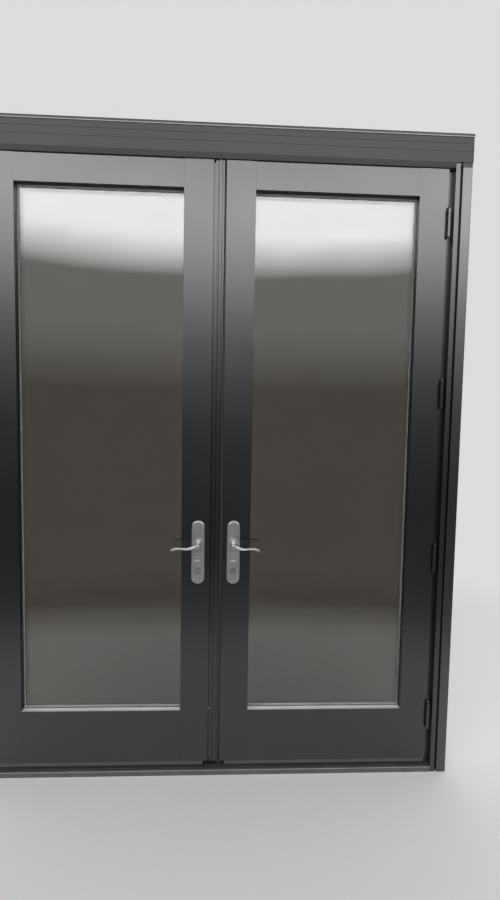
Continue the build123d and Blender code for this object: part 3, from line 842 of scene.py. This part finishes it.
@dataclass
class LockScrews:
    """The screws of the right leaf's lock strip, of the strike on the post, and of the rods' keeps."""

    strip_count: int = 8
    strip_inset: float = 0.060
    strike_inset: float = 0.008
    keep_reach: float = 0.015
    keep_sheet: float = 0.002
    head: ScrewHead = ScrewHead(radius=0.0034, recess_length=0.0042)
    small_head: ScrewHead = ScrewHead(radius=0.0024, dome=0.0002, recess_length=0.0032, recess_width=0.0009)

    def strip(self, middle: float) -> bpy.types.Mesh:
        """Make the screws of the lock's face strip, evenly spread between two inset ends.

        Args:
            middle: The lock's middle along Y.

        Returns:
            The mesh.
        """
        low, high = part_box("right_lock")
        heights = np.linspace(low[2] + self.strip_inset, high[2] - self.strip_inset, self.strip_count)
        spots = spots_on([middle], heights, 0, low[0])
        return self.head.heads("lock_strip_screws", spots, (-1, 0, 0), (0, 1, 0))

    def strike(self, middle: float) -> bpy.types.Mesh:
        """Make the screws of the strike plate, one at its middle and one near each end.

        Args:
            middle: The lock's middle along Y.

        Returns:
            The mesh.
        """
        low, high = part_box("left_strike")
        heights = [low[2] + self.strike_inset, (low[2] + high[2]) / 2, high[2] - self.strike_inset]
        spots = spots_on([middle], np.array(heights), 0, high[0])
        return self.head.heads("strike_screws", spots, (1, 0, 0), (0, 1, 0))

    def keeps(self, middle: float) -> list[bpy.types.Mesh]:
        """Make the screws of the rods' keeps in the head and in the sill, two to a keep.

        Args:
            middle: The lock's middle along Y.

        Returns:
            One mesh for the head and one for the sill.
        """
        keep_low, keep_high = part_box("rod_keeps")
        rod_low, rod_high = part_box("right_top_rod")
        rod = (rod_low[0] + rod_high[0]) / 2
        across = [side * (rod + step) for side in (-1, 1) for step in (-self.keep_reach, self.keep_reach)]
        faces = {"head": (keep_high[2] - self.keep_sheet, -1), "sill": (keep_low[2] + self.keep_sheet, 1)}
        meshes = []
        for place, (height, up) in faces.items():
            spots = spots_on(across, np.array([middle]), 2, height)
            meshes.append(self.small_head.heads(f"{place}_keep_screws", spots, (0, 0, up), (1, 0, 0)))
        return meshes

    def build(self, shop: FinishShop) -> None:
        """Make the three sets, all in the upright plane through the middle of the lock.

        Args:
            shop: Where the materials come from.
        """
        low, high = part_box("right_lock")
        middle = (low[1] + high[1]) / 2
        place_piece(self.strip(middle), "right_leaf", Finish.BOLT_METAL, shop)
        place_piece(self.strike(middle), "left_leaf", Finish.BOLT_METAL, shop)
        for mesh in self.keeps(middle):
            place_piece(mesh, "frame", Finish.BOLT_METAL, shop)


@dataclass
class Weatherstrip:
    """Bulb seals of rubber that the leaves close against: up both stops, along the head, along the sill."""

    width: float = 0.009
    sill_setback: float = 0.001
    bulb_sides: int = 28
    crown: float = 0.7
    pinch: float = 0.22
    pinch_width: float = 0.0016

    def profile(self, width: float, depth: float) -> np.ndarray:
        """Work out the section of a bulb.

        At a turn a the section lies at (width / 2) cos a across, and out of the face by depth times sin a
        to the power of the crown, or 0 where sin a is negative. A factor of
        1 - pinch exp(-(across / pinch width)^2) makes a shallow groove along the middle.

        Args:
            width: How wide the seal is.
            depth: How far it stands out of its face.

        Returns:
            Points round the section: across and outwards.
        """
        turn = np.linspace(0.0, 2.0 * math.pi, self.bulb_sides, endpoint=False)
        across = width / 2 * np.cos(turn)
        groove = 1.0 - self.pinch * np.exp(-((across / self.pinch_width) ** 2))
        return np.column_stack([across, depth * np.clip(np.sin(turn), 0.0, 1.0) ** self.crown * groove])

    def carried(self, section: np.ndarray, corners: np.ndarray, face: float) -> np.ndarray:
        """Carry a section along a path in an upright plane, mitred at its corners.

        The across direction at a corner is the sum of the two runs' normals over 1 plus their dot product,
        so that each run keeps its width. Outwards is towards -Y.

        Args:
            section: Points round the section: across and outwards.
            corners: The path's points in X and Z.
            face: The Y of the face that carries it.

        Returns:
            Points by shell, ring, place in the ring and axis.
        """
        runs = np.diff(corners, axis=0)
        runs = runs / np.linalg.norm(runs, axis=1)[:, None]
        normals = np.column_stack([-runs[:, 1], runs[:, 0]])
        before, after = np.vstack([normals[:1], normals]), np.vstack([normals, normals[-1:]])
        mitre = (before + after) / (1.0 + np.sum(before * after, axis=1))[:, None]
        flat = corners[:, None, :] + section[None, :, :1] * mitre[:, None, :]
        depth = np.broadcast_to(face - section[:, 1], flat.shape[:2])
        return np.stack([flat[..., 0], depth, flat[..., 1]], axis=-1)[None]

    def build(self, shop: FinishShop) -> None:
        """Make the seal of the stops and head, and the seal of the sill, in place of the plain ones.

        Args:
            shop: Where the materials come from.
        """
        low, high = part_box("frame_seals")
        width = self.width
        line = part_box("right_jamb")[0][0] + width / 2
        top = high[2] - width / 2
        stop_face = high[1]
        stop_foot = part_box("sill")[1][2]
        corners = np.array([[-line, stop_foot], [-line, top], [line, top], [line, stop_foot]])
        section = self.profile(width, stop_face - low[1])
        frame = closed_shells("stop_bulb_seal", self.carried(section, corners, stop_face))
        piece = place_piece(frame, "frame", Finish.SEAL_RUBBER, shop)
        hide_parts("frame_seals")
        sill_face = stop_face - self.sill_setback
        height = low[2] + width / 2
        ends = np.array([[low[0], height], [high[0], height]])
        section = self.profile(width, sill_face - low[1])
        sill = closed_shells("sill_bulb_seal", self.carried(section, ends, sill_face))
        place_piece(sill, "frame", Finish.SEAL_RUBBER, shop)


@dataclass
class SweepFins:
    """Two rubber fins in the channel of each sweep, which wipe the sill between the channel's blades."""

    places: tuple[float, float] = (0.015, 0.031)
    drop: float = 0.0164
    sheet: float = 0.003
    lean: float = 0.0045
    root: float = 0.0020
    tip: float = 0.0009
    steps: int = 10

    def profile(self) -> np.ndarray:
        """Work out the section of a fin.

        Its middle line hangs from the channel and leans outwards by lean t^2 at a share t of its drop, and
        its thickness goes from the root's to the tip's in a straight line. The points go down the front and
        come up the back.

        Returns:
            Points round the section: along Y and up.
        """
        share = np.linspace(0.0, 1.0, self.steps)
        middle = -self.lean * share**2
        half = (self.root + (self.tip - self.root) * share) / 2
        front = np.column_stack([middle - half, -self.drop * share])
        back = np.column_stack([middle + half, -self.drop * share])
        return np.vstack([front, back[::-1]])

    def build(self, shop: FinishShop) -> None:
        """Make the fins of each leaf.

        Args:
            shop: Where the materials come from.
        """
        section = self.profile()
        places = np.array(self.places)
        for name in SIDES:
            low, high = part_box(f"{name}_door_sweep")
            rings = np.empty((len(places), 2, len(section), 3))
            rings[..., 0] = np.array([low[0], high[0]])[:, None]
            rings[..., 1] = section[:, 0] + low[1] + places[:, None, None]
            rings[..., 2] = section[:, 1] + high[2] - self.sheet
            fins = closed_shells(f"{name}_sweep_fins", rings)
            place_piece(fins, f"{name}_leaf", Finish.SEAL_RUBBER, shop)


# Studio


@dataclass
class Studio:
    """A pale floor that fades into a pale background, and a soft bright sky in front of the doors.

    Heights and sides of the sky are shares of a unit direction, and each pair gives where a soft step
    begins and how far it takes.
    """

    floor_size: float = 10.0
    floor_drop: float = 0.0006
    middle: Vector3 = (0.0, 0.40, 0.0)
    stretch: Vector3 = (0.5, 1.0, 1.0)
    fade_from: float = 1.55
    fade_over: float = 0.60
    colour: Colour = (0.91, 0.905, 0.90, 1.0)
    background: float = 0.72
    low_light: float = 0.02
    ground_light: float = 1.4
    ground_from: tuple[float, float] = (0.40, 0.10)
    haze_light: float = 0.6
    haze_foot: tuple[float, float] = (0.06, 0.12)
    sky_light: float = 6.4
    sky_foot: tuple[float, float] = (0.28, 0.07)
    sky_top: tuple[float, float] = (0.47, 0.05)
    sky_sides: tuple[float, float] = (0.38, 0.25)
    top_light: float = 0.15
    top_foot: tuple[float, float] = (0.05, 0.35)
    rear_light: float = 0.62
    rear_sides: tuple[float, float] = (-0.25, 0.5)
    front_share: float = 0.2

    def backdrop(self, shop: FinishShop) -> None:
        """Make the floor.

        Args:
            shop: Where the materials come from.
        """
        half = self.floor_size / 2
        corners = np.array([[-half, -half], [half, -half], [half, half], [-half, half]])
        points = np.column_stack([corners, np.full(4, -self.floor_drop)])
        mesh = bpy.data.meshes.new("studio_floor")
        mesh.from_pydata(points.tolist(), [], [(0, 1, 2, 3)])
        ground = Ground(self.colour, self.middle, self.stretch, self.fade_from, self.fade_over)
        mesh.materials.append(shop.material("studio_floor", ground))
        floor = bpy.data.objects.new("studio_floor", mesh)
        bpy.context.scene.collection.objects.link(floor)

    def light(self, upward: Socket, inward: Socket, behind: Socket) -> Socket:
        """Work out the light that comes from a direction.

        Args:
            upward: How much the direction points up.
            inward: How much it points into the house.
            behind: 0 in front of the doors, rising to 1 behind them.

        Returns:
            The strength of the light.
        """
        in_front = (0.0 - inward).above(*self.sky_sides)
        under_top = 1.0 - upward.above(*self.sky_top)
        band = upward.above(*self.sky_foot) * under_top * self.sky_light
        haze = upward.above(*self.haze_foot) * under_top * self.haze_light
        overhead = upward.above(*self.top_foot) * self.top_light
        ground = (0.0 - upward).above(*self.ground_from) * self.ground_light
        return self.low_light + (band + haze) * in_front + overhead + ground + behind * self.rear_light

    def world(self) -> None:
        """Make the light of an open sky in front of the doors.

        The sky is a soft bright band in front, between two heights above the horizon, with haze under it.
        It is dim at the horizon, pale far below it as the ground is, and plain overhead, and the rear is
        plain. The background is pale wherever it is seen directly, and wherever it is seen through glass or
        mirrored behind the doors. In front, gloss shows the sky, and glass shows it with a share of the
        background.
        """
        world = bpy.data.worlds.new("soft_sky")
        world.use_nodes = True
        bpy.context.scene.world = world
        graph = Graph(world.node_tree)
        direction = graph.node("ShaderNodeTexCoord", {}, {}, "Generated")
        upward = graph.node("ShaderNodeSeparateXYZ", {}, {"Vector": direction}, "Z")
        inward = graph.node("ShaderNodeSeparateXYZ", {}, {"Vector": direction}, "Y")
        behind = inward.above(*self.rear_sides)
        direct = graph.node("ShaderNodeLightPath", {}, {}, "Is Camera Ray")
        passing = graph.node("ShaderNodeLightPath", {}, {}, "Is Transmission Ray")
        mirrored = graph.node("ShaderNodeLightPath", {}, {}, "Is Glossy Ray")
        pale = (direct + passing * (self.front_share + behind) + mirrored * behind).limited()
        strength = self.light(upward, inward, behind) * (1.0 - pale) + pale * self.background
        inputs = {"Color": rgba(1.0, 1.0, 1.0), "Strength": strength}
        graph.show("ShaderNodeOutputWorld", graph.node("ShaderNodeBackground", {}, inputs))


@dataclass
class Camera:
    """The viewpoint of the photograph, worked out from lines and corners of the leaves."""

    place: Vector3 = (0.04906, -1.78578, 1.4146)
    yaw: float = -0.04314
    pitch: float = 0.06536
    roll: float = -0.01728
    focal_pixels: float = 467.47
    long_side_pixels: float = 900.0
    sensor: float = 36.0
    near: float = 0.02

    def turn(self) -> Matrix:
        """How the camera is turned.

        Returns:
            The turn whose columns are right, up and backwards. It starts level, looking along +Y, is
            turned about the vertical by yaw, tipped down by pitch and rolled about its own line of sight.
        """
        right = np.array([math.cos(self.yaw), math.sin(self.yaw), 0.0])
        ahead = np.array([-math.sin(self.yaw), math.cos(self.yaw), 0.0])
        down = np.array([0.0, 0.0, -1.0])
        tipped = ahead * math.cos(self.pitch) + down * math.sin(self.pitch)
        lower = down * math.cos(self.pitch) - ahead * math.sin(self.pitch)
        rolled = right * math.cos(self.roll) + lower * math.sin(self.roll)
        lower = lower * math.cos(self.roll) - right * math.sin(self.roll)
        return Matrix(np.column_stack([rolled, -lower, -tipped]).tolist())

    def set_up(self) -> None:
        """Make the camera and use it."""
        camera = bpy.data.cameras.new("photo_camera")
        camera.sensor_width = self.sensor
        camera.lens = self.focal_pixels / self.long_side_pixels * self.sensor
        camera.clip_start = self.near
        view = bpy.data.objects.new("photo_camera", camera)
        bpy.context.scene.collection.objects.link(view)
        view.matrix_world = Matrix.Translation(self.place) @ self.turn().to_4x4()
        bpy.context.scene.camera = view


def main() -> None:
    """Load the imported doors, dress them and set up the studio."""
    logging.basicConfig(level=logging.INFO)
    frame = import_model()
    shop = FinishShop()
    shop.dress_nodes(frame)
    HingeScrews().build(shop)
    LockScrews().build(shop)
    Weatherstrip().build(shop)
    SweepFins().build(shop)
    studio = Studio()
    studio.backdrop(shop)
    studio.world()
    Camera().set_up()
    bpy.context.scene.view_settings.view_transform = "Standard"


if __name__ == "__main__":
    main()
